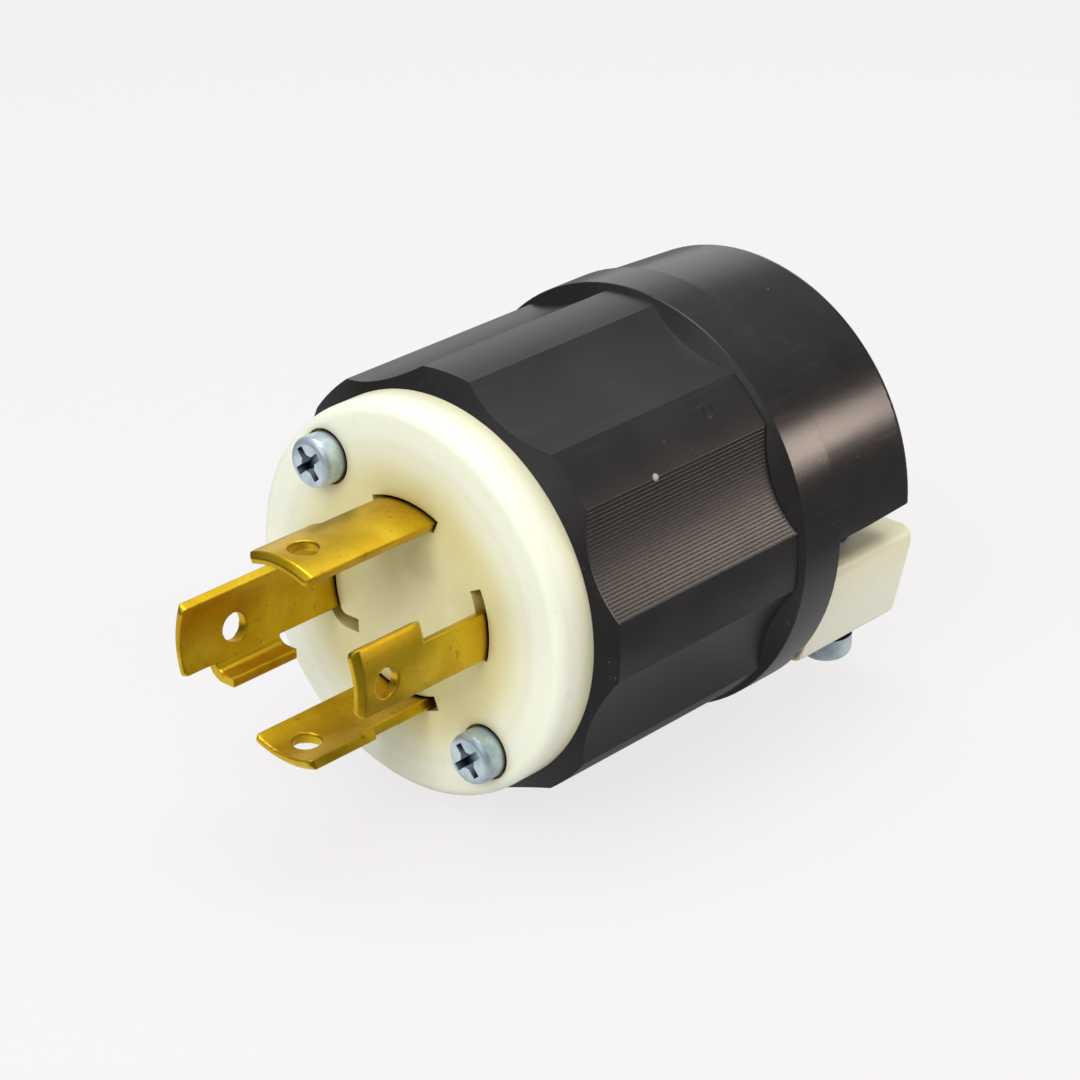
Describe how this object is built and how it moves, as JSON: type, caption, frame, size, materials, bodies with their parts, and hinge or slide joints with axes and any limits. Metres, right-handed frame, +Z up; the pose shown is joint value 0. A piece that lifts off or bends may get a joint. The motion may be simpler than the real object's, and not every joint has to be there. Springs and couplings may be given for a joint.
{
  "type": "locking power plug",
  "caption": "Straight round locking power plug with curved locking blades, a fluted black grip and a two-part cord clamp.",
  "frame": {"origin": "centre of the white front face, on the plug's axis", "axes": "+X along the plug's axis towards the cord end, +Z up with the cord clamp's screws below, -Y towards the neutral blade"},
  "size_m": [0.0942, 0.0574, 0.0574],
  "materials": {
    "black_nylon": "fine moulded satin",
    "white_nylon": "natural satin",
    "brass": "stamped, satin",
    "zinc": "zinc plated",
    "green_screw": "green dyed plating"
  },
  "bodies": {
    "root": {"shell": "black_nylon", "face_body": "white_nylon", "terminal_block": "white_nylon", "cord_clamp_jaw": "white_nylon", "blade_ground": "brass", "blade_neutral": "brass", "blade_line_x": "brass", "blade_line_y": "brass", "pressure_plate_ground": "zinc", "pressure_plate_neutral": "zinc", "pressure_plate_line_x": "zinc", "pressure_plate_line_y": "zinc", "terminal_screw_ground": "green_screw", "terminal_screw_neutral": "zinc", "terminal_screws_line": "brass", "block_screw": "zinc", "face_screws": "zinc", "face_screw_inserts": "brass", "clamp_screws": "zinc", "clamp_inserts": "brass"}
  },
  "joints": []
}
